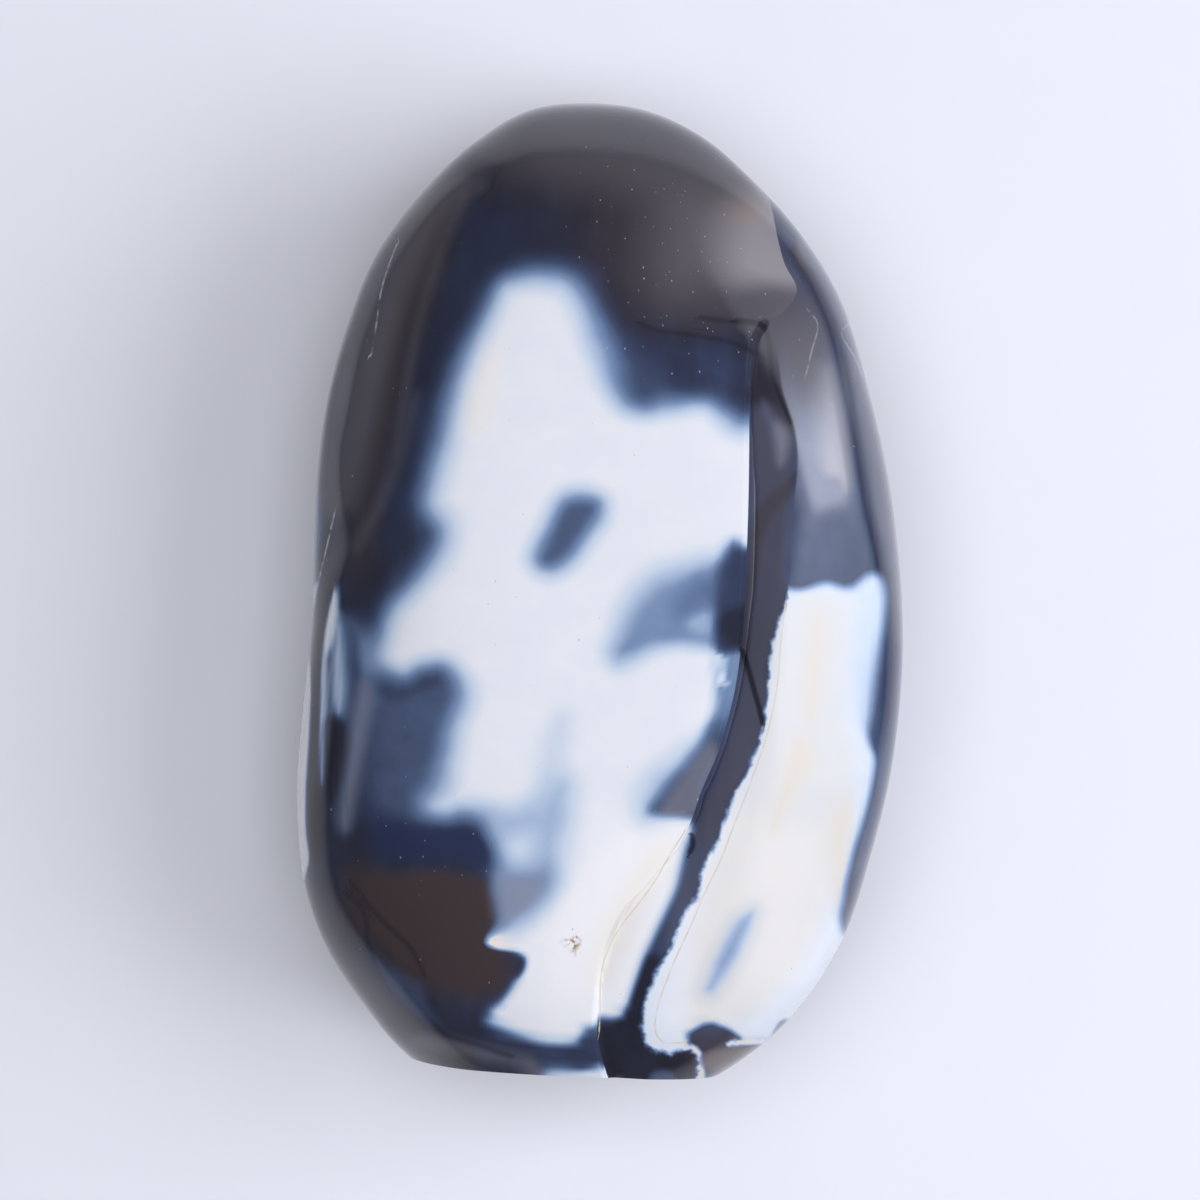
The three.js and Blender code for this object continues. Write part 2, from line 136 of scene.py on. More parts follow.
# The rim of the right flank, outlined once for three marks: partly painted reflection, partly the stone's
# own translucent edge
FLANK_RIM_SHEEN = [
    (798, 246), (818, 278), (835, 312), (846, 346), (853, 382), (859, 418), (866, 455), (872, 492),
    (879, 530), (884, 548, 10), (900, 640, 12), (940, 640), (930, 300), (830, 220),
]
MAIN_MARKS = [
    ("slate right of the white", -0.84, 16, [
        (600, 320), (640, 334), (700, 342), (740, 352), (760, 362), (764, 400), (700, 386), (660, 396),
        (622, 402)]),
    ("blue in that slate", -0.52, 24, [
        (602, 326), (630, 350), (660, 376), (676, 392), (650, 404), (620, 396), (604, 360)]),
    ("slate at the lower left", -0.47, 24, [
        (366, 684), (400, 686), (440, 672), (476, 690), (460, 760), (430, 820), (400, 830), (372, 812),
        (360, 780), (362, 740)]),
    ("grey streak at the left", -0.3, 14, [
        (346, 616), (372, 636), (376, 690), (368, 730), (358, 780), (348, 830), (338, 820), (342, 770),
        (350, 720), (354, 670)]),
    ("white body", 1.0, None, [
        (540, 274, 32), (516, 278, 28), (498, 288, 26), (483, 320, 28), (463, 360, 32), (450, 398, 35),
        (442, 436, 36), (430, 478, 36), (426, 504, 36), (440, 530, 36), (436, 552, 34), (416, 580, 30),
        (391, 608, 27), (379, 640, 26), (379, 664, 26), (402, 675, 22), (420, 667, 20), (442, 664, 21),
        (459, 678, 23), (466, 698, 25), (456, 726, 26), (449, 756, 28), (442, 786, 30), (430, 806, 28),
        (446, 816, 28), (464, 814, 29), (487, 820, 32), (497, 842, 30), (502, 880, 22), (506, 918, 16),
        (486, 940, 8), (496, 950, 5), (518, 953, 5), (526, 962, 6), (512, 990, 10), (486, 1014, 12),
        (500, 1028, 12), (540, 1042, 10), (574, 1042, 9), (590, 1026, 7), (640, 1040, 8), (720, 1000, 10),
        (760, 840, 10), (790, 600, 10), (790, 424, 24), (744, 424, 32), (726, 414, 29), (704, 402, 24),
        (668, 406, 24), (640, 411, 22), (616, 394, 26), (600, 346, 34), (588, 306, 38), (568, 280, 36)]),
    ("brighter foot of the white", 1.2, 40, [
        (600, 840), (690, 830), (640, 920), (600, 1010), (540, 1010), (540, 930)]),
    ("dark oval", -0.42, 19, [
        (582, 492), (602, 499), (604, 516), (592, 535), (574, 560), (556, 573), (539, 571), (532, 556),
        (544, 528), (560, 499)]),
    ("blue haze", -0.02, None, [
        (740, 556, 20), (716, 558, 22), (690, 564, 24), (662, 572, 27), (641, 586, 28), (627, 606, 26),
        (616, 630, 24), (608, 650, 20), (616, 666, 20), (634, 661, 18), (654, 651, 15), (678, 647, 13),
        (702, 649, 12), (740, 650, 10)]),
    ("middle of the haze", -0.24, 16, [
        (740, 574), (716, 574), (696, 580), (680, 596), (676, 612), (692, 616), (706, 608), (740, 604)]),
    ("grey in the haze", 0.2, 8, [
        (688, 624), (700, 615), (714, 614), (714, 632), (700, 634)]),
    ("dark by the ledge", -0.78, None, [
        (721, 566, 12), (734, 542, 12), (744, 548, 9), (770, 556, 7), (770, 660, 7), (738, 658, 6),
        (718, 652, 7), (715, 620, 9), (719, 590, 11)]),
    ("darkest by the ledge", -1.1, 8, [
        (722, 618), (742, 606), (760, 606), (760, 650), (738, 650), (724, 642)]),
    ("blue strip by the ledge", -0.08, 8, [
        (718, 658), (760, 654), (760, 720), (710, 732), (714, 706), (715, 680)]),
    ("strip darkens down", -0.3, 14, [
        (722, 716), (760, 700), (760, 760), (696, 766), (704, 742)]),
    ("glow of the wedge", 0.12, 26, [
        (694, 748), (672, 764), (652, 776), (640, 800), (644, 820), (668, 806), (690, 780)]),
    ("grey wedge", -0.55, None, [
        (712, 730, 14), (698, 750, 13), (680, 770, 12), (664, 790, 11), (650, 812, 10), (676, 818, 8),
        (710, 817, 7), (750, 780, 8), (750, 730, 14)]),
    ("white chips by the strip", 0.8, 3, [
        (718, 656), (724, 660), (723, 672), (727, 686), (720, 684), (717, 670)]),
    ("pale streak", 0.62, 20, [
        (552, 720), (570, 720), (562, 770), (544, 790), (538, 770)]),
    ("blue streaks", 0.14, 28, [
        (556, 780), (572, 786), (566, 830), (560, 870), (544, 892), (534, 870), (532, 830), (538, 800)]),
    ("pale blue right of the navy", 0.25, 22, [
        (494, 814), (530, 806), (552, 820), (532, 836), (498, 836)]),
    ("purple grey tongue", -0.06, 22, [
        (492, 872), (536, 864), (556, 878), (546, 904), (526, 924), (500, 930)]),
    ("navy band", -1.0, 22, [
        (395, 844), (440, 842), (474, 848), (478, 872), (440, 866), (390, 866)]),
    ("dark notch", -0.95, 6, [
        (484, 953), (512, 954), (525, 962), (518, 976), (500, 972)]),
    ("dark foot", -0.8, None, [
        (440, 1042, 14), (490, 1044, 14), (520, 1050, 12), (570, 1052, 9), (592, 1036, 7), (600, 1026, 6),
        (640, 1030, 6), (640, 1090, 6), (560, 1072, 6), (500, 1060, 14), (450, 1054, 14)]),
    ("white chamfer of the foot", 0.85, 4, [
        (546, 1072, 12), (580, 1071, 6), (600, 1067, 4), (612, 1066, 4), (620, 1080, 4), (622, 1095, 4),
        (542, 1095, 12)]),
    ("bevel, lower left", -1.4, 12, [
        (300, 900), (340, 930), (360, 970), (390, 1010), (430, 1040), (470, 1060), (440, 1100),
        (360, 1060), (310, 960)]),
    ("dark facet, lower left", -1.25, 5, [
        (362, 906), (380, 922), (400, 938), (414, 954), (424, 974), (404, 968), (384, 954), (371, 938)]),
    ("grey facet, lower left", -0.6, 6, [
        (372, 950), (396, 970), (420, 980), (430, 1006), (444, 1024), (420, 1018), (398, 998),
        (380, 974)]),
    ("navy above the foot", -0.9, 12, [
        (430, 990), (470, 985), (500, 990), (484, 1014), (450, 1022)]),
    ("blue by the left crease", -0.12, 7, [
        (337, 612), (346, 622), (350, 660), (350, 700), (342, 724), (332, 716), (330, 680), (332, 640)]),
    ("pale streak by the left crease", 0.5, 6, [
        (338, 626), (342, 660), (343, 690), (339, 712), (334, 696), (335, 660)]),
    ("white by the left crease", 0.95, 4, [
        (336, 584), (338, 604), (334, 632), (327, 656), (321, 656), (324, 628), (330, 600)]),
    ("pale line of the left crease", 0.45, None, [
        (320, 656, 3), (327, 656, 4), (327, 720, 5), (324, 776, 5), (319, 776, 3)]),
    ("dark by the pale line", -1.2, 8, [
        (328, 722), (342, 724), (346, 740), (340, 780), (330, 800), (326, 770)]),
    ("black of the left flank", -1.35, None, [
        (334, 580, 5), (326, 608, 3), (320, 645, 3), (319, 700, 3), (318, 770, 3), (324, 830, 8),
        (316, 862, 5), (306, 850, 3), (304, 800, 3), (308, 750, 3), (311, 690, 3), (313, 630, 3),
        (318, 596, 4)]),
    ("white on the left rim", 1.2, 3, [
        (317, 582), (312, 620), (310, 650), (311, 690), (309, 740), (306, 790), (306, 830), (309, 854),
        (307, 870), (299, 892), (290, 880), (280, 800), (285, 700), (300, 620)]),
    ("blue on the left rim", -0.1, 5, [
        (318, 496, 14), (321, 526, 8), (318, 556), (313, 590), (306, 610, 8), (300, 580), (306, 500, 14)]),
]

# The lower side, right of the ledge
LOW_LEVEL = -0.54
LOW_MARKS = [
    ("upper flank", -0.95, 26, [
        (760, 300), (806, 300), (830, 350), (836, 390), (812, 400), (780, 380)]),
    ("groove", -0.76, 5, [
        (700, 318), (762, 320), (772, 345), (777, 380), (786, 402), (794, 425), (794, 470), (784, 520),
        (780, 570), (786, 600), (790, 660), (790, 720), (760, 800), (735, 850), (710, 900), (680, 980),
        (670, 1030), (600, 1030), (560, 980), (640, 830), (690, 740), (700, 640), (710, 400)]),
    ("upper groove", -1.15, 10, [
        (740, 316), (766, 322), (776, 350), (780, 384), (794, 424), (786, 430), (768, 404), (748, 400),
        (746, 350)]),
    # Painted shade: a dark band across the groove, where its wall lies in shade
    ("painted shade across the groove", -1.1, 6, [
        (796, 474), (788, 496), (774, 512), (763, 540), (757, 575), (750, 612), (746, 660), (738, 660),
        (742, 600), (748, 560), (752, 524), (764, 502), (782, 486)]),
    ("tan light in the groove", -0.5, 6, [
        (762, 398), (774, 418), (786, 432), (786, 450), (779, 466), (775, 446), (767, 424)]),
    # Painted reflection: a dark band down the flank, the dark gap between the softbox and the floor
    # mirrored in the polish
    ("painted dark reflection on the flank", -0.9, None, [
        (790, 252, 3), (808, 282, 3), (824, 312, 3), (836, 344, 3), (843, 374, 4), (849, 404, 4),
        (853, 440, 5), (859, 475, 5), (866, 515, 5), (873, 550, 5), (880, 592, 5), (889, 592, 4),
        (884, 560, 4), (877, 528, 4), (869, 490, 4), (862, 452, 4), (856, 415, 3), (851, 380, 3),
        (844, 346, 3), (833, 312, 3), (817, 278, 3), (797, 248, 3)]),
    ("painted sheen on the flank's translucent rim", -0.5, 5, FLANK_RIM_SHEEN),
    ("rim of the lower side", -0.75, 6, [
        (884, 572, 10), (884, 640), (882, 690), (883, 730), (886, 760), (878, 806), (864, 860), (852, 910),
        (920, 900), (940, 650, 12), (898, 620, 12)]),
    ("black of the groove's end", -1.5, None, [
        (646, 960, 9), (662, 970, 9), (652, 1010, 7), (652, 1035, 6), (660, 1050, 5), (690, 1048, 6),
        (702, 1056, 5), (697, 1076, 5), (680, 1078, 5), (668, 1068, 5), (650, 1072, 5), (640, 1100, 5),
        (606, 1100, 5), (596, 1050, 6), (598, 1024, 6), (622, 1019, 6)]),
    ("white strip", 1.15, 9, [
        (690, 826), (684, 850), (676, 886), (660, 922), (644, 956), (632, 990), (622, 1014), (600, 1018),
        (540, 1010), (540, 860), (660, 820)]),
]

# The white lobe of the lower side: its left edge is the crenulated rind
LOBE_MARKS = [
    ("white lobe", 0.74, None, [
        (760, 590, 10), (800, 589, 10), (826, 582, 11), (850, 587, 11), (870, 573, 12), (884, 584, 12),
        (882, 624, 10), (872, 660, 14), (866, 700, 14), (870, 740, 9), (876, 762, 7), (868, 806, 8),
        (853, 856, 10), (843, 896, 11), (842, 930, 8), (880, 1000, 5), (800, 1060, 5), (776, 1042, 5),
        (742, 1040, 5), (728, 1030, 7), (712, 1024, 7), (698, 1028, 7), (686, 1040, 5), (700, 1046, 4),
        (704, 1060, 4), (700, 1100, 5), (640, 1090, 5), (580, 1000, 5), (620, 900, 5), (680, 800, 5),
        (720, 650, 5)]),
    ("lower lobe", 1.0, 40, [
        (700, 820), (800, 830), (826, 880), (810, 970), (740, 1016), (660, 1016)]),
    ("blue edge of the lobe", 0.6, 18, [
        (858, 600), (880, 600), (872, 700), (862, 720), (852, 680)]),
    ("blue streak", 0.1, 16, [
        (758, 908), (750, 940), (734, 970), (714, 998), (700, 992), (714, 954), (734, 918)]),
    ("brown of the foot", -0.85, None, [
        (686, 1040, 6), (700, 1026, 7), (712, 1024, 7), (730, 1032, 7), (742, 1040, 4), (726, 1044, 3),
        (704, 1052, 3), (696, 1046, 4)]),
    ("bevel of the foot", -0.55, 3, [
        (702, 1054), (726, 1046), (745, 1044), (766, 1043), (782, 1020), (800, 1030), (740, 1064),
        (722, 1067), (704, 1068)]),
    ("white edge of the bevel", 0.9, 2.5, [
        (728, 1042), (742, 1040), (764, 1040), (764, 1044), (742, 1045), (728, 1046)]),
]
RIND_PATH = [
    (798, 480), (791, 560), (787, 600), (778, 625), (770, 655), (768, 690), (764, 725), (757, 748),
    (748, 772), (735, 795), (724, 820), (716, 845), (702, 870), (698, 895), (684, 915), (672, 945),
    (656, 975), (646, 1000), (642, 1030), (650, 1048), (668, 1053), (686, 1050), (698, 1060), (694, 1105),
]
# The crisp seam between the main and the lower side: down the brink of the grey patch, then the ledge
SEAM_PATH = [
    (735, 140), (757, 178), (770, 202), (778, 240), (785, 265), (797, 290), (784, 312), (764, 324),
    (754, 345), (750, 400), (748.5, 500), (745, 600), (741, 650), (733, 700), (719, 750), (702, 790),
    (687, 830), (656, 876), (624, 908), (606, 944), (600, 985), (598, 1040), (612, 1090),
]
LEDGE_SEAM = SEAM_PATH[7:16]  # along the wall of the ledge

# Warmth: above 0 brown in the dark stone and cream in the white, below 0 navy in the dark stone
WARM_MARKS = [
    ("brown top", 0.6, 40, [
        (470, 150), (560, 130), (660, 150), (760, 190), (780, 250), (770, 300), (700, 320), (620, 310),
        (590, 260), (560, 200), (500, 180)]),
    ("tan of the grey patch", 0.85, 20, [
        (722, 196), (756, 190), (776, 214), (756, 232), (726, 226)]),
    ("brown left shoulder", 0.7, 25, [
        (420, 200), (480, 190), (470, 260), (420, 340), (395, 450), (370, 560), (350, 560), (365, 420),
        (385, 300)]),
    ("brown lower left", 1.0, 18, [
        (350, 870), (430, 864), (490, 880), (500, 930), (510, 980), (470, 1000), (420, 985), (380, 950),
        (350, 920)]),
    ("brown foot", 1.0, 8, [
        (686, 1036), (712, 1022), (736, 1034), (766, 1044), (790, 1030), (740, 1085), (700, 1080)]),
    ("brown in the groove", 0.3, 10, [
        (752, 330), (775, 380), (792, 425), (794, 470), (786, 600), (768, 700), (720, 830), (690, 830),
        (730, 740), (752, 600)]),
    ("brown of the upper flank", 0.5, 24, [
        (700, 296), (772, 290), (776, 214), (800, 236), (824, 280), (836, 330), (822, 350), (800, 400),
        (776, 350), (740, 324), (700, 326)]),
    ("painted sheen on the flank's translucent rim", 0.5, 6, FLANK_RIM_SHEEN),
    ("warm white of the lobe", 0.5, 16, [
        (790, 600), (826, 592), (850, 604), (848, 660), (846, 720), (856, 760), (846, 820), (834, 880),
        (800, 960), (740, 1020), (690, 1020), (700, 900), (750, 780)]),
    ("navy band", -0.9, 20, [
        (380, 812), (430, 824), (470, 816), (496, 836), (500, 866), (440, 862), (380, 860)]),
    ("navy by the shoulder", -0.3, 16, [
        (470, 200), (520, 240), (480, 290), (450, 360), (425, 440), (410, 530), (385, 560), (400, 440),
        (440, 300)]),
    ("slate at the lower left", 0.2, 20, [
        (366, 684), (400, 686), (440, 672), (466, 690), (450, 760), (420, 800), (380, 800)]),
    ("dark oval", 0.35, 12, [
        (582, 492), (602, 499), (592, 535), (556, 573), (536, 568), (544, 528)]),
    ("cream by the crack", 0.6, 16, [
        (650, 850), (672, 842), (645, 900), (606, 984), (590, 970), (612, 908)]),
    ("cream streak, upper lobe", 1.0, 14, [
        (815, 620), (822, 640), (814, 720), (806, 700)]),
    ("cream streak, middle lobe", 1.0, 16, [
        (795, 740), (812, 760), (790, 800), (772, 830)]),
    ("cream streak, lower lobe", 1.0, 16, [
        (832, 830), (850, 800), (846, 900), (836, 900)]),
    ("cream at the left edge", 0.4, 16, [
        (480, 360), (500, 350), (490, 420), (462, 430)]),
]

# The back's own markings, in the same plan pixels
BACK_MARKS = [
    ("white of the back", 1.0, 34, [
        (520, 330), (600, 300), (690, 360), (720, 480), (690, 560), (720, 650), (690, 760), (600, 800),
        (566, 700), (520, 640), (470, 560), (460, 440)]),
    ("white at the back's left", 0.9, 30, [
        (400, 800), (500, 820), (560, 900), (500, 990), (420, 960)]),
    ("white at the back's right", 0.9, 26, [
        (790, 560), (850, 620), (840, 800), (770, 830), (750, 700)]),
    ("dark spot of the back", -0.5, 18, [
        (600, 460), (640, 480), (630, 560), (580, 600), (560, 560)]),
    ("blue haze of the back", 0.1, 26, [
        (600, 680), (680, 660), (660, 760), (610, 770)]),
]

# Grey light in the dark stone, tan where it is warm: shares, on the main side and then on the lower side.
# Some of this grey is painted sheen and reflection on the polish
PALE_AND_SHEEN_MARKS = [
    # Painted reflection: a grey sheen along the top rim
    ("painted sheen along the top", 0.18, 36, [
        (470, 140), (600, 104), (720, 150), (740, 190), (640, 190), (560, 176)]),
    # The grey patch: the stone's translucent grey, with a painted reflection of the softbox over it
    ("grey patch", 0.22, 50, [
        (660, 190), (740, 170), (810, 200), (830, 296), (740, 296), (660, 290)]),
    ("painted sheen on the grey patch", 0.75, None, [
        (726, 225, 40), (760, 196, 24), (820, 220, 20), (840, 282, 12), (770, 283, 12), (728, 274, 28)]),
    ("grey wedge", 0.35, 8, [
        (712, 742), (694, 762), (676, 785), (662, 808), (664, 818), (690, 818), (720, 780)]),
    # Painted reflections: two faint streaks of the studio's lights on the shoulder
    ("long painted reflection on the shoulder", 0.1, 7, [
        (470, 196), (446, 250), (424, 320), (410, 390), (400, 450), (394, 450), (402, 390), (414, 320),
        (436, 250), (462, 196)]),
    ("short painted reflection on the shoulder", 0.1, 8, [
        (420, 400), (404, 460), (384, 510), (360, 550), (352, 545), (376, 500), (396, 450), (410, 400)]),
    ("grey streak at the left", 0.3, 9, [
        (364, 680), (372, 700), (362, 760), (350, 826), (340, 820), (346, 770), (354, 710)]),
    ("purple grey tongue", 0.45, 18, [
        (500, 880), (530, 876), (548, 890), (536, 912), (506, 924)]),
    # Painted reflection: a grey sheen along the left shoulder
    ("painted sheen of the left shoulder", 0.2, 16, [
        (476, 180), (440, 226), (410, 290), (392, 350), (376, 420), (362, 480), (350, 510), (326, 510),
        (332, 440), (344, 360), (362, 290), (400, 220), (446, 172)]),
    ("light of the foot", 0.38, 9, [
        (420, 1036), (460, 1044), (500, 1054), (536, 1064), (540, 1100), (430, 1090), (400, 1050)]),
    ("bevel rim at the lower left", 0.02, 14, [
        (330, 900), (350, 960), (390, 1020), (430, 1050), (520, 1064), (520, 1100), (400, 1090),
        (300, 960), (300, 900)]),
]
LOW_PALE_AND_SHEEN_MARKS = [
    ("groove", 0.11, 8, [
        (752, 420), (790, 425), (794, 470), (786, 600), (770, 660), (768, 700), (758, 750), (735, 795),
        (715, 850), (695, 905), (668, 950), (668, 920), (690, 850), (722, 750), (745, 640)]),
    # Painted highlight: the softbox's bright streak on the flank
    ("painted highlight of the flank", 0.55, None, [
        (826, 372, 24), (840, 390, 14), (847, 440, 10), (850, 492, 5), (838, 478, 5), (824, 470, 10),
        (820, 430, 18)]),
    ("tan light in the groove", 0.4, 8, [
        (776, 424), (788, 432), (788, 450), (780, 466), (776, 448)]),
    ("painted sheen on the flank's translucent rim", 0.24, 6, FLANK_RIM_SHEEN),
    ("bevel of the foot", 0.28, 4, [
        (702, 1056), (728, 1048), (766, 1044), (790, 1020), (800, 1030), (740, 1068), (704, 1069)]),
]

# Where dust lies
DUST_MARKS = [
    ("dust on the upper right", 1.0, 40, [
        (590, 170), (690, 160), (740, 220), (760, 330), (700, 380), (610, 350)]),
    ("dust on the lower left", 1.0, 30, [
        (400, 790), (480, 800), (560, 880), (550, 920), (470, 890), (410, 860)]),
]
DUST_LEVEL = 0.08  # elsewhere

# The brown pit in the white
PIT_MARKS = [
    ("pit", 1.0, 3, [
        (563, 942), (571, 940), (577, 935), (579, 945), (577, 954), (570, 947)]),
]

# Paths of the hairlines
GOLD_LINES = [
    [(786, 600), (781, 640), (778, 680), (773, 710), (765, 742), (756, 768), (745, 798), (733, 828),
     (721, 860), (705, 893), (690, 928), (676, 958), (664, 988), (657, 1010), (655, 1030), (662, 1042),
     (684, 1043)],
    [(686, 830), (670, 855), (656, 880), (640, 902), (620, 928), (608, 950), (601, 976), (600, 1010),
     (599, 1035)],
]
WHITE_LINES = [
    [(397, 244), (388, 268), (381, 292), (377, 320), (374, 340), (371, 356)],
    [(339, 494), (333, 520), (326, 550), (319, 580), (314, 606)],
    [(810, 312), (818, 326), (812, 350), (806, 375)],
    [(868, 395), (856, 360), (842, 335), (850, 322)],
]
# Dark lines along the creases: painted shade
DARK_LINES = [
    [(640, 324), (660, 331), (690, 335), (720, 340), (742, 347), (760, 356)],
    [(700, 318), (730, 322), (752, 324)],
    [(347, 895), (357, 903), (366, 920), (368, 945), (380, 975), (395, 999), (412, 1017), (440, 1033),
     (475, 1044), (510, 1056)],
    [(352, 884), (376, 914), (398, 936), (412, 950), (424, 974)],
]
BLACK_LINES = [
    [(736, 321), (756, 323), (765, 329), (769, 344), (771, 362), (774, 380), (782, 400), (792, 422)],
    [(743, 652), (748, 668), (754, 690), (759, 708), (763, 724)],
    [(692, 838), (693, 845), (690, 853)],
    [(331, 590), (323, 630), (317, 690), (314, 750), (312, 800), (315, 850)],
]

# Name of each set of hairlines: paths, half width in mm and the share of it that is solid
HAIRLINES = {
    "gold": (GOLD_LINES, 0.12, 0.5),
    "white_line": (WHITE_LINES, 0.13, 0.5),
    "dark_line": (DARK_LINES, 0.6, 0.0),
    "black_line": (BLACK_LINES, 0.55, 0.2),
}
LINE_REACH = (0.9, 0.6)  # mm from a hairline, beyond which a change of side draws no line

# How the front's markings pass over the rim and into the back's
FLANK_EASE = 2.0  # mm below the rim, over which they are pushed out to the outline
BACK_BLEND = (0.6, 6.5)  # mm below the rim, over which the back's take over
SIDE_WAVES = [(5, 1.2, 0.4), (9, 0.9, 2.1), (17, 0.5, 1.0)]  # how that wanders: turns, mm and start
SIDE_SWING = 0.22  # radians that the markings swing to and fro around the stone
SIDE_TURNS = 7
SIDE_TWIST = 0.4  # radians for each mm below the rim
BACK_OFFSET = 40.0  # mm added to distances on the back, so that it has no hairlines, wall or rind

# Colours that the front shows, in 0 to 255 values of the photograph, first by level of whiteness
VEIL_RANGE = (-1.5, 1.2)
VEIL_COLOURS = [
    (-1.5, (30, 28, 34)), (-1.0, (46, 49, 66)), (-0.79, (52, 60, 86)), (-0.57, (62, 74, 103)),
    (-0.3, (84, 103, 139)), (0.0, (118, 140, 177)), (0.3, (162, 181, 212)), (0.57, (190, 204, 226)),
    (0.79, (207, 215, 231)), (0.95, (219, 223, 235)), (1.2, (231, 232, 241)),
]
BROWN = (64, 55, 58)
NAVY = (42, 49, 80)
TAN = (164, 148, 141)
CREAM = (232, 225, 216)
LOBE_CREAM = (211, 205, 199)
# The grey of the pale marks, also the colour of their painted sheen
GREY_AND_SHEEN = (150, 147, 156)
GOLD = (204, 190, 168)
CHIP_WHITE = (200, 205, 216)
# Colour of the painted shade along the creases
CREASE_SHADE_COLOUR = (36, 36, 46)
BLACK = (28, 28, 36)
DUST_GREY = (150, 155, 170)
PIT_BROWN = (150, 115, 88)
WHITE_LIGHT = (0.92, 0.94, 1.05)  # what a perfect white shows on the front, in linear light
GLARE = 0.006  # what the polish reflects there
DARKEST = 0.002

# Levels of whiteness over which each tint comes in
MOTTLE_LEVELS = (-0.35, -0.8)
BROWN_LEVELS = (-0.2, -0.7)
NAVY_LEVELS = (-0.4, -0.8)
CREAM_LEVELS = (0.2, 0.6)
GREY_LEVELS = (0.3, -0.1)
TAN_WARMTH = (0.7, 1.0)  # warmth over which grey turns tan

# Fine structure of the stone. Each noise has a scale, in waves to the metre, and a detail.
SEAM_EDGE = 0.06  # mm to either side
UNEVEN_NOISE = (260, 3)
UNEVEN_HEIGHT = 0.2  # levels
RIND_NOISE = (900, 2)
RIND_HEIGHT = 1.1  # mm
RIND_EDGE = (-0.5, 0.5, -1.2, 1.2)  # mm across it, and the levels there
STREAK_STRETCH = (1, 0.3, 0.6)  # streaks run along the stone
STREAK_NOISE = (220, 4)
MOTTLE_HEIGHT = 0.3  # levels to either side
BROWN_STREAKS = (0.3, 0.7, 0.7, 1.2)  # of that noise, and the share of brown there
BREAK_NOISE = (700, 2)
BREAK_EDGE = (0.35, 0.6)  # of that noise, from a line's breaks to the line
PIT_NOISE = (1500, 3)
PIT_EDGE = (0.45, 0.55)
CREASE_SHADE_STRENGTH = 0.48
BLACK_STRENGTH = 0.8
GOLD_STRENGTH = (0.35, 0.8)  # in its breaks and elsewhere
CHIP_STRENGTH = (0.2, 0.5)  # on the lower and on the main side
DUST_STRETCH = (1, 0.6, 1)
DUST_SCALE = 1250  # cells to the metre
DUST_SIZE = (0.04, 0.12)  # of a cell
DUST_STRENGTH = (0.2, 0.8)

# Polish of the stone
POLISH_NOISE = (120, 4)
POLISH = (0.3, 0.8, 0.05, 0.11)  # of that noise, and the roughness there
LOOSE_ROUGHNESS = 0.4  # of chips and dust
WALL_ROUGHNESS = 0.5
WALL_REACH = (0.8, 0.45)  # mm from the wall of the ledge, within which the stone has little polish
SHINE = (0.45, 0.1)  # away from that wall and on it
AGATE_IOR = 1.54

# The floor
FLOOR_HALF = 3.0  # metres
FLOOR_NOISE = (40, 4)
FLOOR_GREYS = ((0.82, 0.82, 0.83, 1), (0.84, 0.84, 0.85, 1))
# The colour the floor darkens to far from the stone: painted shade
FLOOR_SHADE_COLOUR = (0.24, 0.24, 0.25, 1)
FLOOR_SHADE = (0.1, 0.4)  # metres from the stone's middle, over which the floor's colour darkens as painted shade
FLOOR_ROUGHNESS = 0.9
FLOOR_SHINE = 0.1

# Camera and light, in mm for the lens, and in metres, degrees and watts
LENS = 120.0
SENSOR = 36.0
CAMERA_HEIGHT = (RIM_HEIGHT + EYE_HEIGHT) * MM
DAYLIGHT = (0.88, 0.895, 1.0)
SKY_LEVELS = [(0.0, 0.2), (0.3, 0.17), (0.7, 0.16), (1.0, 0.18)]  # by height, from the horizon up
SOFTBOX = {"zenith": 61, "turn": 15, "distance": 0.8, "size": 0.9, "power": 10.5}
SOFTBOX_GLOW = (0.5, 0.0)  # shares of its size, over which it brightens to its middle
HOT_MIDDLE = (0.18, 0.04)
KEY = {"zenith": 55, "turn": -2, "distance": 1.0, "size": 0.9, "power": 9.4}
OVERHEAD = {"zenith": 4, "turn": 180, "distance": 1.5, "size": 1.2, "power": 14.2}


def smooth_step(value, low, high):
    t = np.clip((value - low) / (high - low), 0, 1)
    return t * t * (3 - 2 * t)


def spline(points, closed=False):
    """A Catmull-Rom curve through the points, as short straight steps."""
    knots = np.array(points, float)
    if closed:
        knots = np.vstack([knots[-1], knots, knots[:2]])
    else:
        knots = np.vstack([2 * knots[0] - knots[1], knots, 2 * knots[-1] - knots[-2]])
    t = np.linspace(0, 1, STEPS_PER_SPAN, endpoint=False)[:, None]
    spans = []
    for a, b, c, d in zip(knots, knots[1:], knots[2:], knots[3:]):
        spans.append(0.5 * (2 * b + (c - a) * t + (2 * a - 5 * b + 4 * c - d) * t**2
                            + (3 * b - a - 3 * c + d) * t**3))
    return np.vstack(spans + [knots[-2]])


def from_line(points, line):
    """Distance of plan points from a line, positive on the left hand of its run, and the place along it."""
    nearest = np.full(len(points), np.inf)
    side = np.ones(len(points))
    along = np.zeros(len(points))
    for i, (start, end) in enumerate(zip(line, line[1:])):
        run = end - start
        offset = points - start
        part = np.clip(offset @ run / (run @ run), 0, 1)
        offset -= part[:, None] * run
        gap = np.einsum("ij,ij->i", offset, offset)
        closer = gap < nearest
        nearest[closer] = gap[closer]
        side[closer] = np.where(run[0] * offset[closer, 1] - run[1] * offset[closer, 0] > 0, 1, -1)
        along[closer] = (i + part[closer]) / (len(line) - 1)
    return np.sqrt(nearest) * side, along


